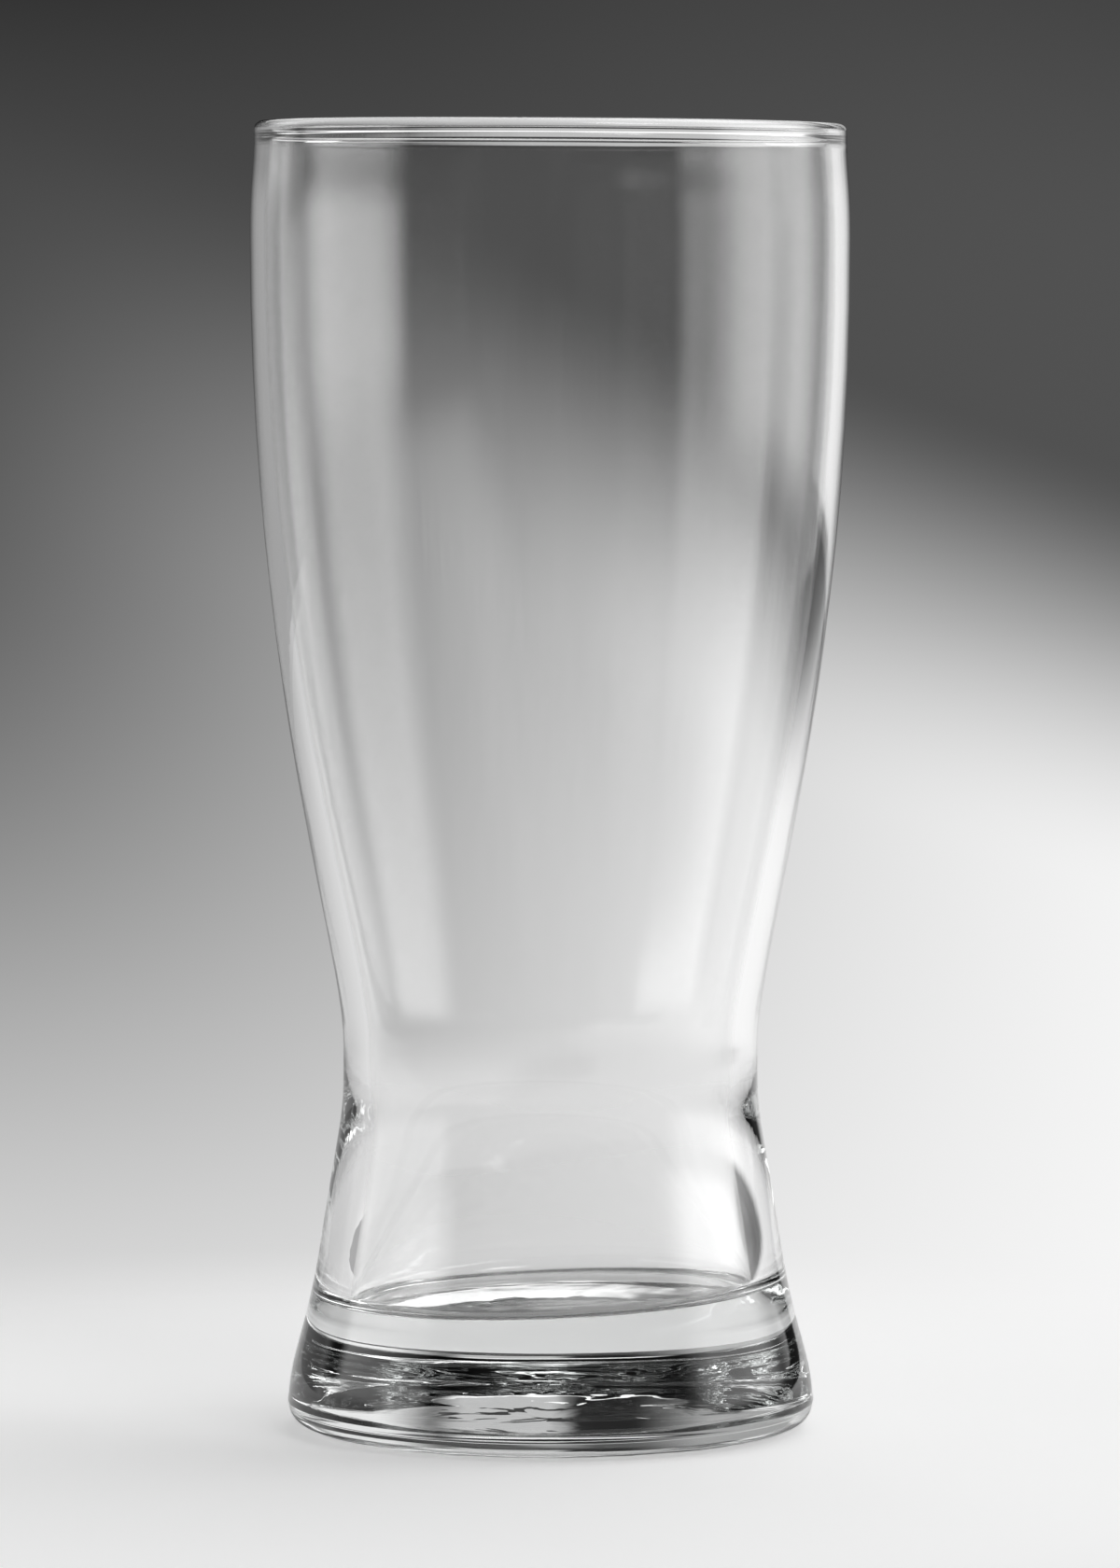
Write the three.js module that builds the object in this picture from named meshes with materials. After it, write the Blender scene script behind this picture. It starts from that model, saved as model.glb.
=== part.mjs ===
// Tall beer glass in clear soda-lime glass, one piece: a thick flared foot, a drawn-in waist, and a bowl
// that swells to its widest just under the mouth and closes a little towards a fire-polished lip.
// Millimetres, +Z up, origin at the centre of the ring that the glass stands on.
import * as THREE from 'three';

// Heights above the table
const glassHeight = 180;
const closingHeight = 15.8; // from the widest line up to the top of the lip
const waistHeight = 53.3;
const footHeight = 25.6; // top of the flared foot
const floorHeight = 18; // inside floor, at its rim
const heelHeight = 4.1; // mould line, where the side turns under

// Outside radii
const mouthRadius = 40.6;
const widestRadius = 41.2;
const waistRadius = 28.55;
const footRadius = 31.8; // at the top of the flared foot
const heelRadius = 36.2;

// Thickness of the glass; the lip is a bead, rounded over and a little thicker than the bowl under it
const lipWall = 2.4;
const beadDepth = 3.4; // from the top of the lip down to where the bead has thinned to the bowl
const bowlWall = 2.1;
const waistWall = 3.4;
const footWall = 5;

// Inside floor
const floorFillet = 4;
const floorCrown = 0.4; // the floor swells up a little in the middle

// Underside: a flat ring to stand on, round a shallow punt
const heelTurn = 8.7; // from the heel in to the ring's outer edge
const standWidth = 3.5;
const puntDepth = 1.4;

// Lean of the wall at a station, as radius gained for each millimetre of height
const heelLean = -0.02;
const footLean = -0.155;
const mouthLean = -0.05;

// How far a curve keeps the direction of its first and last point, as a share of its rise or width
const footHold = [0.28, 0.56];
const chamberHold = [0.72, 0.42];
const bowlHold = [0.12, 0.56];
const closingHold = [0.52, 0.35];
const beadHold = [0.47, 0.9];
const heelHold = [0.7, 0.8];
const puntHold = 0.5;
const floorHold = [0.3, 0.5];

const facetsAround = 60;

// Stations of the wall, from the heel to the foot of the bead
const heel = { height: heelHeight, radius: heelRadius, lean: heelLean, wall: footWall };
const footTop = { height: footHeight, radius: footRadius, lean: footLean, wall: footWall };
const waist = { height: waistHeight, radius: waistRadius, lean: 0, wall: waistWall };
const widest = { height: glassHeight - closingHeight, radius: widestRadius, lean: 0, wall: bowlWall };
const mouth = { height: glassHeight - beadDepth, radius: mouthRadius, lean: mouthLean, wall: bowlWall };

function point(radius, height) {
  return new THREE.Vector2(radius, height);
}

// One stretch of wall between two stations, leaving each one along its lean
function stretch(lower, upper, hold, inset) {
  const rise = upper.height - lower.height;
  const lowerReach = hold[0] * rise;
  const upperReach = hold[1] * rise;
  const lowerRadius = lower.radius - inset * lower.wall;
  const upperRadius = upper.radius - inset * upper.wall;
  return new THREE.CubicBezierCurve(
    point(lowerRadius, lower.height),
    point(lowerRadius + lower.lean * lowerReach, lower.height + lowerReach),
    point(upperRadius - upper.lean * upperReach, upper.height - upperReach),
    point(upperRadius, upper.height),
  );
}

// Points along curves that join end to end, with the steps that each one is cut into
function trace(...curvesAndSteps) {
  const points = [];
  for (const [curve, steps] of curvesAndSteps) {
    const line = curve.getPoints(steps);
    points.push(...line.slice(points.length > 0 ? 1 : 0));
  }
  return points;
}

// From the middle of the punt, under the ring and round to the heel
function underside() {
  const ringOuter = heelRadius - heelTurn;
  const ringInner = ringOuter - standWidth;
  const punt = new THREE.QuadraticBezierCurve(
    point(0, puntDepth),
    point(ringInner * puntHold, puntDepth),
    point(ringInner, 0),
  );
  const ring = new THREE.LineCurve(point(ringInner, 0), point(ringOuter, 0));
  const heelRound = new THREE.CubicBezierCurve(
    point(ringOuter, 0),
    point(ringOuter + heelTurn * heelHold[0], 0),
    point(heelRadius, heelHeight * (1 - heelHold[1])),
    point(heelRadius, heelHeight),
  );
  return trace([punt, 5], [ring, 1], [heelRound, 6]);
}

// Outside wall from the heel up to the foot of the bead
function outsideWall() {
  return trace(
    [stretch(heel, footTop, footHold, 0), 5],
    [stretch(footTop, waist, chamberHold, 0), 5],
    [stretch(waist, widest, bowlHold, 0), 10],
    [stretch(widest, mouth, closingHold, 0), 3],
  );
}

// The bead: upright outside, rounded over, and thinned softly to the bowl on the inside
function bead() {
  const lipRadius = lipWall / 2;
  const roundHeight = glassHeight - lipRadius;
  const fall = roundHeight - mouth.height;
  const lipInner = mouthRadius - lipWall;
  const bowlInner = mouthRadius - bowlWall;
  const upright = new THREE.LineCurve(
    point(mouthRadius, mouth.height),
    point(mouthRadius, roundHeight),
  );
  const round = new THREE.EllipseCurve(
    mouthRadius - lipRadius, roundHeight, lipRadius, lipRadius, 0, Math.PI,
  );
  const thinning = new THREE.CubicBezierCurve(
    point(lipInner, roundHeight),
    point(lipInner, roundHeight - beadHold[0] * fall),
    point(bowlInner, mouth.height + beadHold[1] * fall),
    point(bowlInner, mouth.height),
  );
  return trace([upright, 1], [round, 6], [thinning, 4]);
}

// Inside wall from the bead down to where the floor fillet springs, wherever the floor lies
function insideWall() {
  const springHeight = floorHeight + floorFillet;
  const wall = trace(
    [stretch(footTop, waist, chamberHold, 1), 4],
    [stretch(waist, widest, bowlHold, 1), 8],
    [stretch(widest, mouth, closingHold, 1), 3],
  );
  const above = wall.filter(({ y }) => y > springHeight);
  const below = wall.filter(({ y }) => y <= springHeight);
  const lowest = above[0];
  const next = below.length > 0 ? below[below.length - 1] : footSideBelow(lowest);
  const spring = next.clone().lerp(lowest, (springHeight - next.y) / (lowest.y - next.y));
  return [spring, ...above].reverse();
}

// Under the top of the foot the inside wall runs straight on, along the foot's lean
function footSideBelow(start) {
  return point(start.x - footLean * start.y, 0);
}

// Fillet at the foot of the inside wall, and the floor in to the axis
function insideFloor(spring) {
  const floorEdge = spring.x - floorFillet;
  const fillet = new THREE.QuadraticBezierCurve(
    spring,
    point(spring.x, floorHeight),
    point(floorEdge, floorHeight),
  );
  const floor = new THREE.CubicBezierCurve(
    point(floorEdge, floorHeight),
    point(floorEdge * (1 - floorHold[0]), floorHeight),
    point(floorEdge * floorHold[1], floorHeight + floorCrown),
    point(0, floorHeight + floorCrown),
  );
  return trace([fillet, 4], [floor, 3]);
}

// Section of the glass, from the axis underneath to the axis on the inside floor
function section() {
  const inside = insideWall();
  const spring = inside[inside.length - 1];
  return [
    ...underside(),
    ...outsideWall().slice(1),
    ...bead().slice(1),
    ...inside.slice(1),
    ...insideFloor(spring).slice(1),
  ];
}

const clearGlass = new THREE.MeshStandardMaterial({
  color: 0xe9edec,
  roughness: 0.03,
  metalness: 0,
  transparent: true,
  opacity: 0.35,
});

const tumbler = new THREE.Mesh(new THREE.LatheGeometry(section(), facetsAround), clearGlass);
tumbler.name = 'glass_tumbler';
tumbler.rotation.x = Math.PI / 2; // a lathe turns about Y, and the glass stands along Z

const beerGlass = new THREE.Group();
beerGlass.add(tumbler);

export default beerGlass;
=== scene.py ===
import math

import bpy
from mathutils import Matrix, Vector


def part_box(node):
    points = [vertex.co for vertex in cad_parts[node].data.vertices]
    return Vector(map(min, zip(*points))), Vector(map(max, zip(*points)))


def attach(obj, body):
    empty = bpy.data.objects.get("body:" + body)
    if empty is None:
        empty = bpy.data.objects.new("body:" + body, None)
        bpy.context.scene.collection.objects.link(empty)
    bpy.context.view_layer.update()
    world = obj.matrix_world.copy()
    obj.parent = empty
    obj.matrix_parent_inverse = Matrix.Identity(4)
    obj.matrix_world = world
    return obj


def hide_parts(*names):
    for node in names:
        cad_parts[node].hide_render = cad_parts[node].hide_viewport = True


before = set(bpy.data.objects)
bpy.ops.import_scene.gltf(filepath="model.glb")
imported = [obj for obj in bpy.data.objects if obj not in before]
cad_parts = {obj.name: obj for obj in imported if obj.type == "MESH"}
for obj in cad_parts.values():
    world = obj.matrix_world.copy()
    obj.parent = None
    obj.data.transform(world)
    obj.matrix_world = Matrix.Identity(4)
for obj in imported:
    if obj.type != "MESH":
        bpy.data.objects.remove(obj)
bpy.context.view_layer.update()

# Tall beer glass, pressed and blown in one piece of clear soda-lime glass, standing on a pale table
# between soft boxes. Sizes in the dictionaries are millimetres unless a note says otherwise.
mm = 0.001


def toLinear(hexColour):
    # sRGB hex to the linear colour that shaders take
    channels = [int(hexColour[i:i + 2], 16) / 255 for i in (1, 3, 5)]
    linear = [c / 12.92 if c <= 0.04045 else ((c + 0.055) / 1.055) ** 2.4 for c in channels]
    return linear + [1.0]


def addNode(tree, kind, inputs=(), **settings):
    # one node with its settings and links; inputs go in order or by name, and each is a value, a
    # socket, or a node whose first output feeds it
    node = tree.nodes.new(kind)
    for name, value in settings.items():
        setattr(node, name, value)
    for name, value in inputs.items() if isinstance(inputs, dict) else enumerate(inputs):
        if isinstance(value, bpy.types.Node):
            value = value.outputs[0]
        if isinstance(value, bpy.types.NodeSocket):
            tree.links.new(value, node.inputs[name])
        else:
            node.inputs[name].default_value = value
    return node


def newMaterial(name):
    material = bpy.data.materials.new(name)
    material.use_nodes = True
    material.node_tree.nodes.clear()
    return material


# The tumbler: heights from the table, radii outside, walls across the glass
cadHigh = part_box("glass_tumbler")[1]  # the far corner of the CAD solid's box
tumbler = {
    "glassHeight": cadHigh.z / mm,
    "widestRadius": cadHigh.x / mm,
    "closingHeight": 15.8,
    "waistHeight": 53.3,
    "footHeight": 25.6,
    "floorHeight": 18.0,
    "heelHeight": 4.1,
    "mouthRadius": 40.6,
    "waistRadius": 28.55,
    "footRadius": 31.8,
    "heelRadius": 36.2,
    "lipWall": 2.4,
    "beadDepth": 3.4,  # from the top of the lip down to where the wall has thinned
    "bowlWall": 2.1,
    "waistWall": 3.4,
    "footWall": 5.0,
    "floorFillet": 2.0,
    "floorCrown": 0.4,
    "heelTurn": 8.7,
    "standWidth": 3.5,
    "puntDepth": 1.4,
    "heelLean": -0.02,  # radius gained for each millimetre of height
    "footLean": -0.155,
    "mouthLean": -0.05,
    # how long a curve keeps the direction of its two ends, as shares of its rise or width
    "footHold": (0.28, 0.56),
    "chamberHold": (0.72, 0.42),
    "bowlHold": (0.12, 0.56),
    "closingHold": (0.52, 0.35),
    "beadHold": (0.47, 0.9),
    "heelHold": (0.7, 0.8),
    "puntHold": 0.5,
    "floorHold": (0.3, 0.5),
    "sides": 240,
    "stepsPerStretch": 20,
}

# What the maker's mould and plunger leave uneven
unevenness = {
    "floorTilt": 0.045,  # rise of the inside floor for each millimetre to the right
    "floorTiltFades": (24.0, 48.0),
    "rimFall": 0.5,  # how much lower the lip is on its right side
    "rimFallStarts": 130.0,
    "waveHeight": 0.05,
    "waveLength": 11.1,
    "waveStretch": 8.3,  # how many times longer up the glass than round it
    "chillHeight": 0.3,  # wrinkles that the cold mould leaves in the underside
    "chillLength": 4.5,
    "chillStarts": 0.3,  # share of the wrinkles' noise that stays flat on the table
    "mouldLine": (4.1, 0.5, 0.12),  # height from the table, width and how far it stands out
    "plungerRing": (24.6, 0.9, 0.12),  # radius on the inside floor, width and how high it stands
    "seed": 11,
}

# how far a rounded corner's handles reach towards its bend
quarterCircle = 0.5523
parabola = 2 / 3


def straight(start, end):
    near = tuple(a + (b - a) / 3 for a, b in zip(start, end))
    far = tuple(a + (b - a) * 2 / 3 for a, b in zip(start, end))
    return [start, near, far, end]


def corner(start, bend, end, pull):
    near = tuple(a + (b - a) * pull for a, b in zip(start, bend))
    far = tuple(a + (b - a) * pull for a, b in zip(end, bend))
    return [start, near, far, end]


def stretch(lower, upper, hold, inset=0):
    # a cubic curve up the wall between two stations, each with a height, radius, lean and wall
    lowHeight, lowRadius, lowLean, lowWall = lower
    highHeight, highRadius, highLean, highWall = upper
    lowReach, highReach = (share * (highHeight - lowHeight) for share in hold)
    lowRadius -= inset * lowWall
    highRadius -= inset * highWall
    return [
        (lowRadius, lowHeight),
        (lowRadius + lowLean * lowReach, lowHeight + lowReach),
        (highRadius - highLean * highReach, highHeight - highReach),
        (highRadius, highHeight),
    ]


def tumblerSection(t):
    # the section as cubic curves of radius and height: the underside from the axis, the outside up
    # to the top of the lip, and the inside down to the axis again
    heel = (t["heelHeight"], t["heelRadius"], t["heelLean"], t["footWall"])
    foot = (t["footHeight"], t["footRadius"], t["footLean"], t["footWall"])
    waist = (t["waistHeight"], t["waistRadius"], 0, t["waistWall"])
    widest = (t["glassHeight"] - t["closingHeight"], t["widestRadius"], 0, t["bowlWall"])
    mouth = (t["glassHeight"] - t["beadDepth"], t["mouthRadius"], t["mouthLean"], t["bowlWall"])

    ringOuter = t["heelRadius"] - t["heelTurn"]
    ringInner = ringOuter - t["standWidth"]
    turnHold, riseHold = t["heelHold"]
    puntBend = (ringInner * t["puntHold"], t["puntDepth"])
    underside = [
        corner((0, t["puntDepth"]), puntBend, (ringInner, 0), parabola),
        straight((ringInner, 0), (ringOuter, 0)),
        [(ringOuter, 0), (ringOuter + t["heelTurn"] * turnHold, 0),
         (t["heelRadius"], t["heelHeight"] * (1 - riseHold)), (t["heelRadius"], t["heelHeight"])],
    ]

    # the wall outside, and the bead that the lip rounds over into
    beadHeight = t["glassHeight"] - t["beadDepth"]
    lipHeight = t["glassHeight"] - t["lipWall"] / 2
    lipTop = (t["mouthRadius"] - t["lipWall"] / 2, t["glassHeight"])
    lipOuter = (t["mouthRadius"], lipHeight)
    lipInner = (t["mouthRadius"] - t["lipWall"], lipHeight)
    outside = [
        stretch(heel, foot, t["footHold"]),
        stretch(foot, waist, t["chamberHold"]),
        stretch(waist, widest, t["bowlHold"]),
        stretch(widest, mouth, t["closingHold"]),
        straight((t["mouthRadius"], beadHeight), lipOuter),
        corner(lipOuter, (lipOuter[0], lipTop[1]), lipTop, quarterCircle),
    ]

    # the bead thins to the wall, which goes down inside to the corner of the floor
    beadFall = lipHeight - beadHeight
    highHold, lowHold = t["beadHold"]
    bowlInner = t["mouthRadius"] - t["bowlWall"]
    inside = [
        corner(lipTop, (lipInner[0], lipTop[1]), lipInner, quarterCircle),
        [lipInner, (lipInner[0], lipHeight - highHold * beadFall),
         (bowlInner, beadHeight + lowHold * beadFall), (bowlInner, beadHeight)],
        stretch(widest, mouth, t["closingHold"], inset=1)[::-1],
        stretch(waist, widest, t["bowlHold"], inset=1)[::-1],
        stretch(foot, waist, t["chamberHold"], inset=1)[::-1],
    ]
    footRadius, footHeight = inside[-1][-1]
    springHeight = t["floorHeight"] + t["floorFillet"]
    spring = (footRadius + t["footLean"] * (springHeight - footHeight), springHeight)
    floorEdge = (spring[0] - t["floorFillet"], t["floorHeight"])
    crown = t["floorHeight"] + t["floorCrown"]
    edgeHold, middleHold = t["floorHold"]
    inside += [
        straight((footRadius, footHeight), spring),
        corner(spring, (spring[0], t["floorHeight"]), floorEdge, parabola),
        [floorEdge, (floorEdge[0] * (1 - edgeHold), t["floorHeight"]),
         (floorEdge[0] * middleHold, crown), (0, crown)],
    ]
    return underside, outside, inside


def sectionLength(stretches, steps=24):
    total = 0
    for ends in stretches:
        spots = []
        for step in range(steps + 1):
            u = step / steps
            weights = ((1 - u) ** 3, 3 * (1 - u) ** 2 * u, 3 * (1 - u) * u * u, u ** 3)
            spots.append([sum(w * p[i] for w, p in zip(weights, ends)) for i in (0, 1)])
        total += sum(math.dist(p, q) for p, q in zip(spots, spots[1:]))
    return total


def drawSection(name, stretches, steps):
    # the section as a Bezier curve in its own XY plane: X is the radius and Y the height
    curve = bpy.data.curves.new(name, "CURVE")
    curve.dimensions = "3D"
    curve.resolution_u = steps
    spline = curve.splines.new("BEZIER")
    spline.bezier_points.add(len(stretches))
    for index, knot in enumerate(spline.bezier_points):
        before = stretches[index - 1] if index > 0 else None
        after = stretches[index] if index < len(stretches) else None
        here = after[0] if after else before[3]
        left = before[2] if before else here
        right = after[1] if after else here
        knot.handle_left_type = knot.handle_right_type = "FREE"
        knot.co = (here[0] * mm, here[1] * mm, 0)
        knot.handle_left = (left[0] * mm, left[1] * mm, 0)
        knot.handle_right = (right[0] * mm, right[1] * mm, 0)
    section = bpy.data.objects.new(name, curve)
    bpy.context.scene.collection.objects.link(section)
    return section


pathRadius = 0.01  # metres, of the small circle that the section rides round
mergeWithin = 1e-6  # metres
insideFade = 0.04  # share of the section over which what is uneven inside comes in
undersideFull = 0.8  # share of the underside that is wrinkled fully
floatInputs = (
    "Inside Starts", "Underside Ends", "Glass Height", "Widest Radius", "Floor Tilt",
    "Tilt Full Below", "Tilt Gone Above", "Rim Fall", "Rim Fall Starts", "Wave Height",
    "Wave Length", "Wave Stretch", "Chill Height", "Chill Length", "Chill Starts",
    "Mould Line Height", "Mould Line Width", "Mould Line Depth", "Ring Radius", "Ring Width",
    "Ring Depth")


def revolveTree():
    # turns a drawn section about Z and leaves the glass as uneven as its making does
    tree = bpy.data.node_groups.new("turnedGlass", "GeometryNodeTree")
    tree.is_modifier = True
    sockets = {"Geometry": "Geometry", "Glass": "Material", "Sides": "Int", "Seed": "Int"}
    sockets.update(dict.fromkeys(floatInputs, "Float"))
    for name, kind in sockets.items():
        tree.interface.new_socket(name, in_out="INPUT", socket_type="NodeSocket" + kind)
    tree.interface.new_socket("Geometry", in_out="OUTPUT", socket_type="NodeSocketGeometry")
    given = addNode(tree, "NodeGroupInput").outputs

    # the section rides round a small circle, drawn back by the circle's own radius, and turned over
    # because the circle carries its Y downwards
    along = addNode(tree, "GeometryNodeSplineParameter").outputs["Factor"]
    capture = addNode(tree, "GeometryNodeCaptureAttribute")
    capture.capture_items.new("FLOAT", "Along")
    tree.links.new(given["Geometry"], capture.inputs["Geometry"])
    tree.links.new(along, capture.inputs["Along"])
    along = capture.outputs["Along"]
    drawnBack = addNode(tree, "GeometryNodeTransform", {
        "Geometry": capture, "Translation": (-pathRadius, 0, 0), "Rotation": (math.pi, 0, 0)})
    path = addNode(tree, "GeometryNodeCurvePrimitiveCircle", {
        "Resolution": given["Sides"], "Radius": pathRadius}, mode="RADIUS")
    turned = addNode(tree, "GeometryNodeCurveToMesh", {"Curve": path, "Profile Curve": drawnBack})
    closed = addNode(tree, "GeometryNodeMergeByDistance", {
        "Geometry": turned, "Distance": mergeWithin})

    position = addNode(tree, "GeometryNodeInputPosition")
    place = addNode(tree, "ShaderNodeSeparateXYZ", [position]).outputs
    flat = addNode(tree, "ShaderNodeVectorMath", [position, (1, 1, 0)], operation="MULTIPLY")
    insideFull = addNode(tree, "ShaderNodeMath", [given["Inside Starts"], insideFade],
                         operation="ADD")
    inside = addNode(tree, "ShaderNodeMapRange", {
        "Value": along, "From Min": given["Inside Starts"], "From Max": insideFull},
        interpolation_type="SMOOTHSTEP")
    outside = addNode(tree, "ShaderNodeMath", [1.0, inside], operation="SUBTRACT")

    # the inside floor lies a little higher on one side
    nearFloor = addNode(tree, "ShaderNodeMapRange", {
        "Value": place["Z"], "From Min": given["Tilt Gone Above"],
        "From Max": given["Tilt Full Below"]}, interpolation_type="SMOOTHSTEP")
    lowInside = addNode(tree, "ShaderNodeMath", [inside, nearFloor], operation="MULTIPLY")
    tilt = addNode(tree, "ShaderNodeMath", [place["X"], given["Floor Tilt"]], operation="MULTIPLY")
    floorRise = addNode(tree, "ShaderNodeMath", [tilt, lowInside], operation="MULTIPLY")

    # the lip falls a little towards the same side
    nearRim = addNode(tree, "ShaderNodeMapRange", {
        "Value": place["Z"], "From Min": given["Rim Fall Starts"],
        "From Max": given["Glass Height"]}, interpolation_type="SMOOTHSTEP")
    across = addNode(tree, "ShaderNodeMath", [place["X"], given["Widest Radius"]],
                     operation="DIVIDE")
    side = addNode(tree, "ShaderNodeMath", [across, 0.5, 0.5], operation="MULTIPLY_ADD")
    fall = addNode(tree, "ShaderNodeMath", [side, given["Rim Fall"]], operation="MULTIPLY")
    rimDrop = addNode(tree, "ShaderNodeMath", [fall, nearRim], operation="MULTIPLY")

    # the inside wall waves softly up and down the glass
    squeezed = addNode(tree, "ShaderNodeMath", [place["Z"], given["Wave Stretch"]],
                       operation="DIVIDE")
    seeded = addNode(tree, "ShaderNodeMath", [squeezed, given["Seed"]], operation="ADD")
    upright = addNode(tree, "ShaderNodeCombineXYZ", {"Z": seeded})
    moved = addNode(tree, "ShaderNodeVectorMath", [flat, upright], operation="ADD")
    waveScale = addNode(tree, "ShaderNodeMath", [1.0, given["Wave Length"]], operation="DIVIDE")
    waves = addNode(tree, "ShaderNodeTexNoise", {
        "Vector": moved, "Scale": waveScale, "Detail": 1.5, "Roughness": 0.45})
    wave = addNode(tree, "ShaderNodeMath", [waves, 0.5], operation="SUBTRACT")
    wave = addNode(tree, "ShaderNodeMath", [wave, given["Wave Height"]], operation="MULTIPLY")
    wave = addNode(tree, "ShaderNodeMath", [wave, inside], operation="MULTIPLY")

    def ridge(value, middle, width, depth):
        # a soft ridge, as high as its depth in the middle and nearly gone at its width
        away = addNode(tree, "ShaderNodeMath", [value, middle], operation="SUBTRACT")
        half = addNode(tree, "ShaderNodeMath", [width, 0.5], operation="MULTIPLY")
        share = addNode(tree, "ShaderNodeMath", [away, half], operation="DIVIDE")
        square = addNode(tree, "ShaderNodeMath", [share, 2.0], operation="POWER")
        square = addNode(tree, "ShaderNodeMath", [square, -1.0], operation="MULTIPLY")
        bell = addNode(tree, "ShaderNodeMath", [square], operation="EXPONENT")
        return addNode(tree, "ShaderNodeMath", [bell, depth], operation="MULTIPLY")

    # the parting line of the mould round the heel, and the ring that the plunger leaves on the
    # inside floor
    heelRidge = ridge(place["Z"], given["Mould Line Height"], given["Mould Line Width"],
                      given["Mould Line Depth"])
    mouldLine = addNode(tree, "ShaderNodeMath", [outside, heelRidge], operation="MULTIPLY")
    radius = addNode(tree, "ShaderNodeVectorMath", [flat], operation="LENGTH").outputs["Value"]
    floorRidge = ridge(radius, given["Ring Radius"], given["Ring Width"], given["Ring Depth"])
    ringMark = addNode(tree, "ShaderNodeMath", [lowInside, floorRidge], operation="MULTIPLY")
    outwards = addNode(tree, "ShaderNodeVectorMath", [flat], operation="NORMALIZE")
    swell = addNode(tree, "ShaderNodeVectorMath", {
        0: outwards, "Scale": addNode(tree, "ShaderNodeMath", [wave, mouldLine], operation="ADD")},
        operation="SCALE")

    # the underside is wrinkled where the gob first met the cold mould; its highest spots still
    # touch the table
    fullWithin = addNode(tree, "ShaderNodeMath", [given["Underside Ends"], undersideFull],
                         operation="MULTIPLY")
    under = addNode(tree, "ShaderNodeMapRange", {
        "Value": along, "From Min": given["Underside Ends"], "From Max": fullWithin},
        interpolation_type="SMOOTHSTEP")
    chillScale = addNode(tree, "ShaderNodeMath", [1.0, given["Chill Length"]], operation="DIVIDE")
    folds = addNode(tree, "ShaderNodeTexNoise", {
        "Vector": position, "Scale": chillScale, "Detail": 2.5, "Roughness": 0.5})
    folds = addNode(tree, "ShaderNodeMath", [folds, given["Chill Starts"]], operation="SUBTRACT")
    folds = addNode(tree, "ShaderNodeMath", [folds, 0.0], operation="MAXIMUM")
    chill = addNode(tree, "ShaderNodeMath", [given["Chill Height"], under], operation="MULTIPLY")
    chill = addNode(tree, "ShaderNodeMath", [folds, chill], operation="MULTIPLY")

    rise = addNode(tree, "ShaderNodeMath", [floorRise, rimDrop], operation="SUBTRACT")
    marks = addNode(tree, "ShaderNodeMath", [chill, ringMark], operation="ADD")
    rise = addNode(tree, "ShaderNodeMath", [rise, marks], operation="ADD")
    lift = addNode(tree, "ShaderNodeCombineXYZ", {"Z": rise})
    offset = addNode(tree, "ShaderNodeVectorMath", [swell, lift], operation="ADD")
    uneven = addNode(tree, "GeometryNodeSetPosition", {"Geometry": closed, "Offset": offset})
    facingOut = addNode(tree, "GeometryNodeFlipFaces", {"Mesh": uneven})
    smooth = addNode(tree, "GeometryNodeSetShadeSmooth", {"Geometry": facingOut})
    real = addNode(tree, "GeometryNodeRealizeInstances", {"Geometry": smooth})
    finished = addNode(tree, "GeometryNodeSetMaterial", {
        "Geometry": real, "Material": given["Glass"]})
    addNode(tree, "NodeGroupOutput", {"Geometry": finished})
    return tree


def setInputs(modifier, values):
    # a modifier's inputs are set by identifier, so each name is looked up first
    for item in modifier.node_group.interface.items_tree:
        if item.item_type == "SOCKET" and item.in_out == "INPUT" and item.name in values:
            modifier[item.identifier] = values[item.name]


def makeTumbler(material):
    underside, outside, inside = tumblerSection(tumbler)
    wholeLength = sectionLength(underside + outside + inside)
    drawn = drawSection("tumblerSection", underside + outside + inside, tumbler["stepsPerStretch"])
    revolve = drawn.modifiers.new("turnedGlass", "NODES")
    revolve.node_group = revolveTree()
    setInputs(revolve, {
        "Glass": material,
        "Sides": tumbler["sides"],
        "Seed": unevenness["seed"],
        "Inside Starts": sectionLength(underside + outside) / wholeLength,
        "Underside Ends": sectionLength(underside) / wholeLength,
        "Glass Height": tumbler["glassHeight"] * mm,
        "Widest Radius": tumbler["widestRadius"] * mm,
        "Floor Tilt": unevenness["floorTilt"],
        "Tilt Full Below": unevenness["floorTiltFades"][0] * mm,
        "Tilt Gone Above": unevenness["floorTiltFades"][1] * mm,
        "Rim Fall": unevenness["rimFall"] * mm,
        "Rim Fall Starts": unevenness["rimFallStarts"] * mm,
        "Wave Height": unevenness["waveHeight"] * mm,
        "Wave Length": unevenness["waveLength"] * mm,
        "Wave Stretch": unevenness["waveStretch"],
        "Chill Height": unevenness["chillHeight"] * mm,
        "Chill Length": unevenness["chillLength"] * mm,
        "Chill Starts": unevenness["chillStarts"],
        "Mould Line Height": unevenness["mouldLine"][0] * mm,
        "Mould Line Width": unevenness["mouldLine"][1] * mm,
        "Mould Line Depth": unevenness["mouldLine"][2] * mm,
        "Ring Radius": unevenness["plungerRing"][0] * mm,
        "Ring Width": unevenness["plungerRing"][1] * mm,
        "Ring Depth": unevenness["plungerRing"][2] * mm,
    })
    evaluated = drawn.evaluated_get(bpy.context.evaluated_depsgraph_get())
    mesh = bpy.data.meshes.new_from_object(evaluated)
    mesh.name = "tumblerGlass"
    piece = bpy.data.objects.new("tumblerGlass", mesh)
    bpy.context.scene.collection.objects.link(piece)
    bpy.data.objects.remove(drawn)
    return piece


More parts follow.
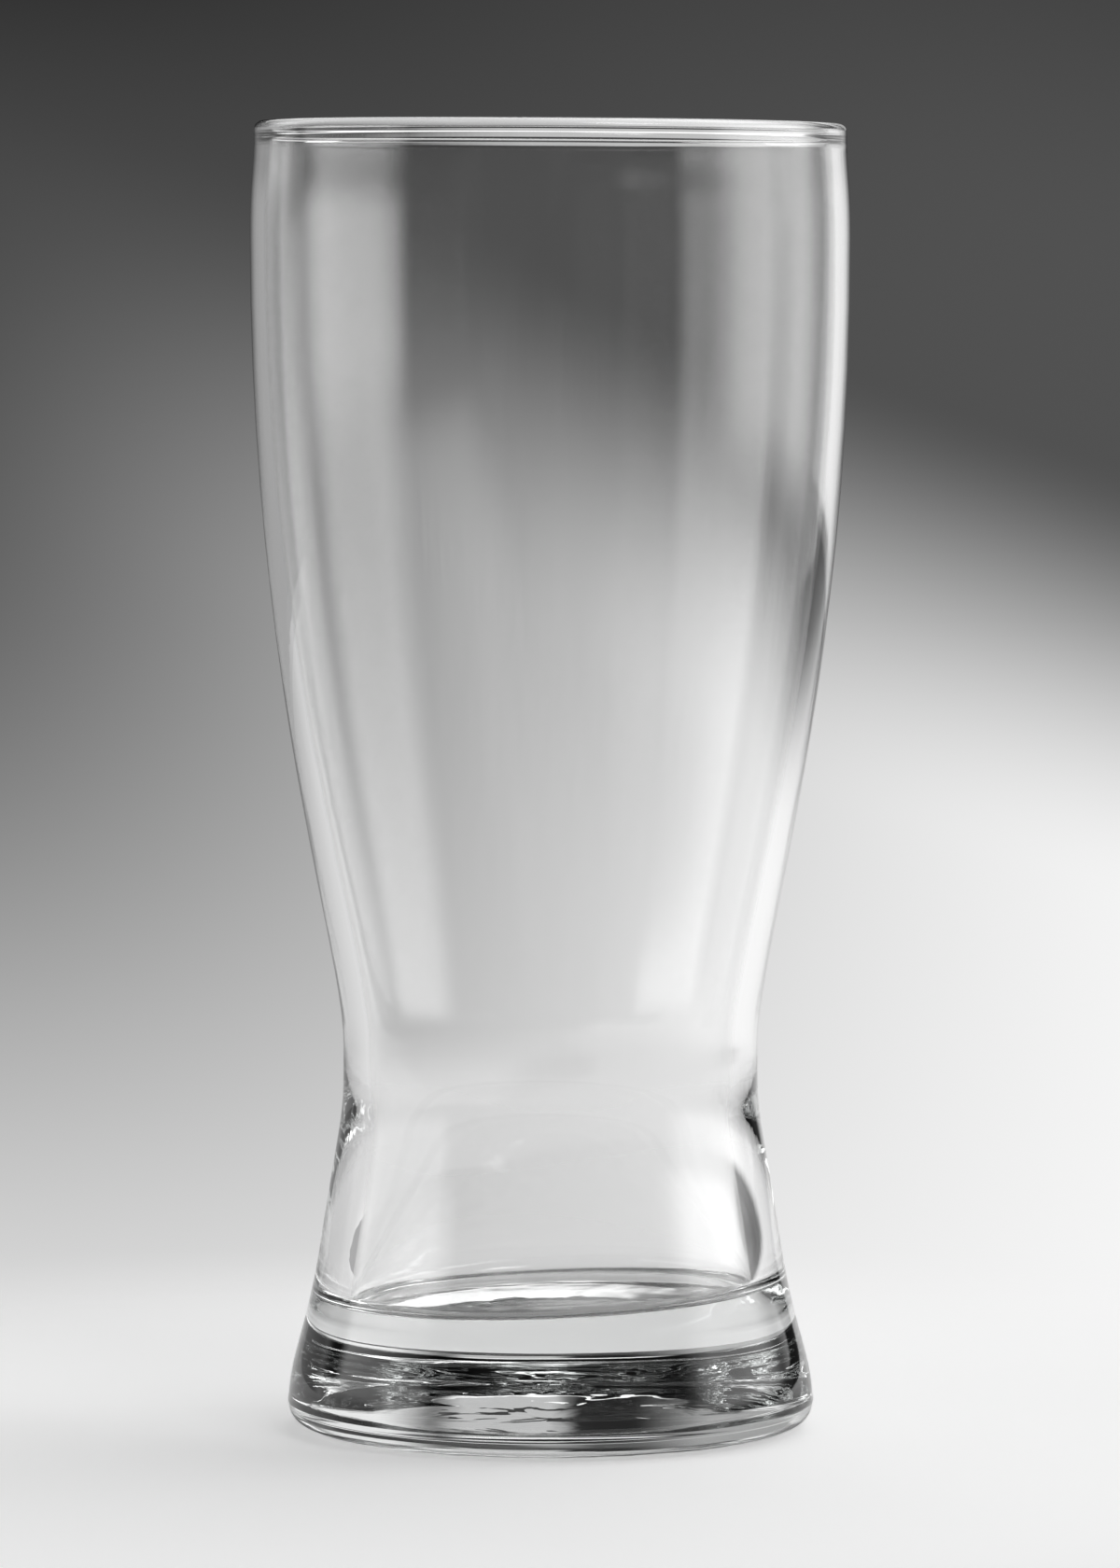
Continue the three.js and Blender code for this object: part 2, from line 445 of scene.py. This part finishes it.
# Soda-lime glass, pressed and blown, fire-polished: clear, nearly colourless, very glossy, with the
# faint upright striations that blowing draws out
glassLook = {
    "ior": 1.52,
    "roughness": 0.0,
    "striationWidth": 2.2,
    "striationHeight": 0.006,
    "striationStretch": 30.0,  # how many times longer than wide
    "tint": "#dfeee9",
    "tintDensity": 1.2,  # per metre
}


def makeSodaLimeGlass():
    material = newMaterial("sodaLimeGlass")
    tree = material.node_tree
    place = addNode(tree, "ShaderNodeTexCoord").outputs["Object"]
    finer = 1 / (glassLook["striationWidth"] * mm)
    scales = (finer, finer, finer / glassLook["striationStretch"])
    upright = addNode(tree, "ShaderNodeVectorMath", [place, scales], operation="MULTIPLY")
    striations = addNode(tree, "ShaderNodeTexNoise", {
        "Vector": upright, "Scale": 1.0, "Detail": 2.0, "Roughness": 0.5})
    bump = addNode(tree, "ShaderNodeBump", {
        "Height": striations, "Strength": 1.0, "Distance": glassLook["striationHeight"] * mm})
    surface = addNode(tree, "ShaderNodeBsdfPrincipled", {
        "Base Color": toLinear("#ffffff"),
        "Roughness": glassLook["roughness"],
        "IOR": glassLook["ior"],
        "Transmission Weight": 1.0,
        "Normal": bump,
    })
    body = addNode(tree, "ShaderNodeVolumeAbsorption", {
        "Color": toLinear(glassLook["tint"]), "Density": glassLook["tintDensity"]})
    addNode(tree, "ShaderNodeOutputMaterial", {"Surface": surface, "Volume": body})
    return material


def stageMesh(name, corners, faces, material, smooth=False):
    # a thing of the studio, which is no part of the glass
    mesh = bpy.data.meshes.new(name)
    mesh.from_pydata(corners, [], faces)
    mesh.polygons.foreach_set("use_smooth", [smooth] * len(faces))
    mesh.materials.append(material)
    thing = bpy.data.objects.new(name, mesh)
    bpy.context.scene.collection.objects.link(thing)


# Table and backdrop: one pale sweep of paper that turns up into a wall all round. Away from the
# glass
# the paper glows with painted shade: a painted grading, graded from a point low in front, falls
# from pale at the table to dark above, and it stays painted dark at the front right
sweep = {
    "rings": (0.0, 0.05, 0.3, 1.0, 2.5),  # radii on the floor, in metres
    "turnRadius": 0.35,
    "wallHeight": 1.6,
    "facets": 96,
    "turnSteps": 12,
    "paper": "#ebebeb",
    "litWithin": (0.1, 0.22),  # metres from the axis, from lamplit paper to paper that glows with painted shade
    "paintedGlow": (0.38, 0.22),  # strength of the painted light added to lamplit paper as seen beside the glass, and as seen through it
    "paintedGlowWithin": (0.038, 0.05),  # metres from the axis between which the second one comes in
    "lamp": (1.3, 0.18),  # how far in front of the glass and how high the point that the painted grading comes from stands, in metres
    "nearest": 0.2,  # metres from that point within which the grading stays the same
    # each painted grading goes from a dark shade to a pale one as the paper lies further under that
    # point, for each metre away from it; a curve above 1 keeps it dark for longer, it leans as it
    # goes right from its middle, and between the two heights of top it fades to a share of itself
    "left": {"shades": (0.06, 0.83), "under": (-0.03, 0.16), "curve": 2.8, "slant": -0.12,
             "middle": -0.05, "top": (-0.045, 0.0, 0.2)},
    "right": {"shades": (0.085, 0.94), "under": (0.022, 0.075), "curve": 1.0, "slant": -0.35,
              "middle": 0.05, "top": (-0.06, 0.0, 0.5)},
    "across": (-0.09, 0.09),  # from the left grading to the right one, sideways for each metre away
    # sides with painted shade of their own, dark in front and at the front right, and painted light
    # at the
    # front left: azimuth in degrees from the camera, positive to the right, metres from the glass
    # between which it comes in and then goes again, and the shade
    "paintedShadePatches": ((0, (0.3, 0.7), (9, 10), 0.05),
                  (-57, (0.1, 0.45), (0.8, 1.4), 0.98),
                  (50, (0.07, 0.32), (9, 10), 0.11)),
}


def makeSweep():
    turn, sides = sweep["turnRadius"], sweep["facets"]
    rings = [(radius, 0.0) for radius in sweep["rings"]]
    floorRadius = rings[-1][0]
    for step in range(1, sweep["turnSteps"] + 1):
        angle = math.pi / 2 * step / sweep["turnSteps"]
        rings.append((floorRadius + turn * math.sin(angle), turn * (1 - math.cos(angle))))
    rings.append((floorRadius + turn, sweep["wallHeight"]))
    corners = [(0, 0, 0)]
    for radius, height in rings[1:]:
        for side in range(sides):
            angle = 2 * math.pi * side / sides
            corners.append((radius * math.cos(angle), radius * math.sin(angle), height))
    faces = [(0, 1 + side, 1 + (side + 1) % sides) for side in range(sides)]
    for start in range(1, 1 + (len(rings) - 2) * sides, sides):
        for side in range(sides):
            after = (side + 1) % sides
            above = start + sides
            faces.append((start + side, above + side, above + after, start + after))
    stageMesh("paperSweep", corners, faces, makeSweepPaper(), smooth=True)


def makeSweepPaper():
    # matt seamless paper: it takes the lamps' light near the glass, with painted light added, and
    # glows with painted shade further off
    material = newMaterial("seamlessPaper")
    tree = material.node_tree
    place = addNode(tree, "ShaderNodeTexCoord").outputs["Object"]
    parts = addNode(tree, "ShaderNodeSeparateXYZ", [place]).outputs

    # how far the paper lies under the point that the painted grading comes from, and to its side,
    # for each metre away from it
    lampBack, lampHigh = sweep["lamp"]
    reach = addNode(tree, "ShaderNodeMath", [parts["Y"], lampBack], operation="ADD")
    reach = addNode(tree, "ShaderNodeMath", [reach, sweep["nearest"]], operation="MAXIMUM")
    under = addNode(tree, "ShaderNodeMath", [lampHigh, parts["Z"]], operation="SUBTRACT")
    under = addNode(tree, "ShaderNodeMath", [under, reach], operation="DIVIDE")
    sideways = addNode(tree, "ShaderNodeMath", [parts["X"], reach], operation="DIVIDE")

    # painted shade: two gradings from dark above to pale at the table, mixed from left to right
    graded = []
    for grading in (sweep["left"], sweep["right"]):
        low, high = grading["under"]
        dark, pale = grading["shades"]
        leaning = addNode(tree, "ShaderNodeMath", [sideways, grading["middle"]],
                          operation="SUBTRACT")
        leaning = addNode(tree, "ShaderNodeMath", [leaning, grading["slant"], under],
                          operation="MULTIPLY_ADD")
        share = addNode(tree, "ShaderNodeMapRange", {
            "Value": leaning, "From Min": low, "From Max": high}, interpolation_type="SMOOTHSTEP")
        share = addNode(tree, "ShaderNodeMath", [share, grading["curve"]], operation="POWER")
        share = addNode(tree, "ShaderNodeMath", [share, pale - dark, dark],
                        operation="MULTIPLY_ADD")
        low, high, least = grading["top"]
        fading = addNode(tree, "ShaderNodeMapRange", {
            "Value": leaning, "From Min": low, "From Max": high, "To Min": least},
            interpolation_type="SMOOTHSTEP")
        graded.append(addNode(tree, "ShaderNodeMath", [share, fading], operation="MULTIPLY"))
    low, high = sweep["across"]
    rightness = addNode(tree, "ShaderNodeMapRange", {
        "Value": sideways, "From Min": low, "From Max": high}, interpolation_type="SMOOTHSTEP")
    shade = addNode(tree, "ShaderNodeMix", {0: rightness, 2: graded[0], 3: graded[1]},
                    data_type="FLOAT")

    # the sides with painted shade and painted light of their own
    for azimuth, comesIn, goesOut, patchShade in sweep["paintedShadePatches"]:
        angle = math.radians(azimuth)
        towards = addNode(tree, "ShaderNodeMath", [parts["X"], math.sin(angle)],
                          operation="MULTIPLY")
        towards = addNode(tree, "ShaderNodeMath", [parts["Y"], -math.cos(angle), towards],
                          operation="MULTIPLY_ADD")
        amounts = []
        for low, high in (comesIn, goesOut[::-1]):
            amounts.append(addNode(tree, "ShaderNodeMapRange", {
                "Value": towards, "From Min": low, "From Max": high},
                interpolation_type="SMOOTHSTEP"))
        amount = addNode(tree, "ShaderNodeMath", amounts, operation="MULTIPLY")
        shade = addNode(tree, "ShaderNodeMix", {0: amount, 2: shade, 3: patchShade},
                        data_type="FLOAT")

    # near the glass the paper is lit by the lamps, and a painted light glows on it, so it is paler
    # than they alone would leave it
    radius = addNode(tree, "ShaderNodeCombineXYZ", {"X": parts["X"], "Y": parts["Y"]})
    radius = addNode(tree, "ShaderNodeVectorMath", [radius], operation="LENGTH").outputs["Value"]
    seen = addNode(tree, "ShaderNodeLightPath").outputs["Is Camera Ray"]
    beside, through = sweep["paintedGlow"]
    low, high = sweep["paintedGlowWithin"]
    stronger = addNode(tree, "ShaderNodeMapRange", {
        "Value": radius, "From Min": low, "From Max": high, "To Max": through},
        interpolation_type="SMOOTHSTEP")
    stronger = addNode(tree, "ShaderNodeMix", {0: seen, 2: stronger, 3: beside}, data_type="FLOAT")
    matt = addNode(tree, "ShaderNodeBsdfDiffuse", {"Color": toLinear(sweep["paper"])})
    # painted light: a white glow on the lamplit paper
    paintedGlow = addNode(tree, "ShaderNodeEmission", {
        "Color": toLinear("#ffffff"), "Strength": stronger})
    lit = addNode(tree, "ShaderNodeAddShader", [matt, paintedGlow])
    # painted shade: away from the glass the paper glows with the graded shade in place of lamplight
    paintedShadeGlow = addNode(tree, "ShaderNodeEmission", {"Color": shade, "Strength": 1.0})
    low, high = sweep["litWithin"]
    away = addNode(tree, "ShaderNodeMapRange", {
        "Value": radius, "From Min": low, "From Max": high}, interpolation_type="SMOOTHSTEP")
    mixed = addNode(tree, "ShaderNodeMixShader", [away, lit, paintedShadeGlow])
    addNode(tree, "ShaderNodeOutputMaterial", {"Surface": mixed})
    return material


# Soft boxes that stand round the glass as arcs of cloth: azimuths in degrees from the camera,
# positive to the right; edges are how softly each end fades, in degrees; distances and heights in
# metres; each glows fully between the two heights of full and thins out below and above them
softBoxes = {
    "keyBox": {"azimuths": (60, 130), "edges": (22, 22), "distance": 0.8, "heights": (0.0, 0.8),
               "full": (0.075, 0.5), "strength": 2.4},
    "fillBox": {"azimuths": (122, 168), "edges": (14, 16), "distance": 0.82,
                "heights": (0.045, 0.3), "full": (0.055, 0.2), "strength": 0.85},
    "stripBox": {"azimuths": (-112, -53), "edges": (8, 10), "distance": 0.8,
                 "heights": (0.015, 0.3), "full": (0.11, 0.18), "strength": 1.9},
    "bounceBoard": {"azimuths": (-170, -120), "edges": (16, 8), "distance": 0.82,
                    "heights": (-0.01, 0.28), "full": (0, 0.18), "strength": 0.36},
    "backBoxRight": {"azimuths": (162, 184), "edges": (6, 4), "distance": 2.3,
                     "heights": (0.3, 0.85), "full": (0.32, 0.75), "strength": 0.55},
    "backBoxHigh": {"azimuths": (160, 204), "edges": (8, 10), "distance": 2.32,
                    "heights": (0.78, 1.3), "full": (0.8, 1.15), "strength": 1.2},
}
# flat boxes overhead; across, deep and edge are metres, the first two from the glass
topBoxes = {
    "topBoxBehind": {"height": 2.2, "across": (-0.7, 2.3), "deep": (-0.2, 2.3), "edge": 0.8,
                     "strength": 2.1},
    "topBoxFront": {"height": 2.2, "across": (0.3, 2.3), "deep": (-2.8, -1.1), "edge": 0.6,
                    "strength": 4.2},
    "topBoxLeft": {"height": 2.2, "across": (-1.5, -0.6), "deep": (-1.4, 0.2), "edge": 0.4,
                   "strength": 0.8},
}
arcStep = 4  # degrees


def glowingCloth(name, strength, edges, middle=0.0):
    # soft box cloth: it glows on its inner side, thins out to its edges, and lets everything
    # through its back; an edge is a coordinate, where the glow is nothing and where it's full
    material = newMaterial(name)
    tree = material.node_tree
    place = addNode(tree, "ShaderNodeTexCoord").outputs["Object"]
    parts = addNode(tree, "ShaderNodeSeparateXYZ", [place]).outputs
    aside = (math.cos(middle), math.sin(middle), 0)
    ahead = (math.sin(middle), -math.cos(middle), 0)
    spots = [addNode(tree, "ShaderNodeVectorMath", [place, direction],
                     operation="DOT_PRODUCT").outputs["Value"] for direction in (aside, ahead)]
    turn = addNode(tree, "ShaderNodeMath", spots, operation="ARCTAN2")
    turn = addNode(tree, "ShaderNodeMath", [turn], operation="DEGREES")
    coordinates = {"turn": turn, "across": parts["X"], "deep": parts["Y"], "height": parts["Z"]}

    backfacing = addNode(tree, "ShaderNodeNewGeometry").outputs["Backfacing"]
    seen = addNode(tree, "ShaderNodeMath", [1.0, backfacing], operation="SUBTRACT")
    for coordinate, nothing, full in edges:
        fade = addNode(tree, "ShaderNodeMapRange", {
            "Value": coordinates[coordinate], "From Min": nothing, "From Max": full},
            interpolation_type="SMOOTHSTEP")
        seen = addNode(tree, "ShaderNodeMath", [seen, fade], operation="MULTIPLY")
    clear = addNode(tree, "ShaderNodeBsdfTransparent")
    glow = addNode(tree, "ShaderNodeEmission", {
        "Color": toLinear("#ffffff"), "Strength": strength})
    cloth = addNode(tree, "ShaderNodeMixShader", [seen, clear, glow])
    addNode(tree, "ShaderNodeOutputMaterial", {"Surface": cloth})
    return material


def makeSoftBox(name, box):
    start, end = box["azimuths"]
    steps = max(1, round((end - start) / arcStep))
    corners, faces = [], []
    for step in range(steps + 1):
        angle = math.radians(start + (end - start) * step / steps)
        out = (math.sin(angle) * box["distance"], -math.cos(angle) * box["distance"])
        corners += [(out[0], out[1], height) for height in box["heights"]]
    for low in range(0, steps * 2, 2):
        faces.append((low + 2, low, low + 1, low + 3))
    half = (end - start) / 2
    edges = [("turn", -half, box["edges"][0] - half), ("turn", half, half - box["edges"][1])]
    edges += [("height", nothing, full) for nothing, full in zip(box["heights"], box["full"])]
    middle = math.radians((start + end) / 2)
    cloth = glowingCloth(name + "Cloth", box["strength"], edges, middle)
    stageMesh(name, corners, faces, cloth)


def makeTopBox(name, box):
    (left, right), (front, back), high = box["across"], box["deep"], box["height"]
    corners = [(left, front, high), (left, back, high), (right, back, high), (right, front, high)]
    soft = box["edge"]
    edges = (("across", left, left + soft), ("across", right, right - soft),
             ("deep", front, front + soft), ("deep", back, back - soft))
    cloth = glowingCloth(name + "Cloth", box["strength"], edges)
    stageMesh(name, corners, [(0, 1, 2, 3)], cloth)


studioAir = {"colour": "#8c8c8c", "strength": 0.1}
bounces = {"max_bounces": 24, "transmission_bounces": 24, "glossy_bounces": 12}


def setWorld():
    world = bpy.data.worlds.new("studio")
    world.use_nodes = True
    tree = world.node_tree
    tree.nodes.clear()
    air = addNode(tree, "ShaderNodeBackground", {
        "Color": toLinear(studioAir["colour"]), "Strength": studioAir["strength"]})
    addNode(tree, "ShaderNodeOutputWorld", {"Surface": air})
    bpy.context.scene.world = world


# Long lens just under the lip's height, looking slightly down; places in metres
view = {
    "distance": 1.122,  # from the axis of the glass
    "height": 0.1598,
    "right": 0.0013,  # the glass stands a little left of the middle
    "pitch": 3.61,  # degrees below the horizon
    "lens": 187.6,
    "sensorWidth": 36.0,
    "clip": (0.05, 20),
}


def setCamera():
    data = bpy.data.cameras.new("camera")
    data.lens = view["lens"]
    data.sensor_width = view["sensorWidth"]
    data.clip_start, data.clip_end = view["clip"]
    camera = bpy.data.objects.new("camera", data)
    camera.location = (view["right"], -view["distance"], view["height"])
    camera.rotation_euler = (math.radians(90 - view["pitch"]), 0, 0)
    bpy.context.scene.collection.objects.link(camera)
    bpy.context.scene.camera = camera


print("glass")
glass = makeTumbler(makeSodaLimeGlass())
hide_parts("glass_tumbler")
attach(glass, "root")

print("stage")
makeSweep()
for boxName, box in softBoxes.items():
    makeSoftBox(boxName, box)
for boxName, box in topBoxes.items():
    makeTopBox(boxName, box)
setWorld()
setCamera()
bpy.context.scene.view_settings.view_transform = "Standard"
for setting, count in bounces.items():
    setattr(bpy.context.scene.cycles, setting, count)
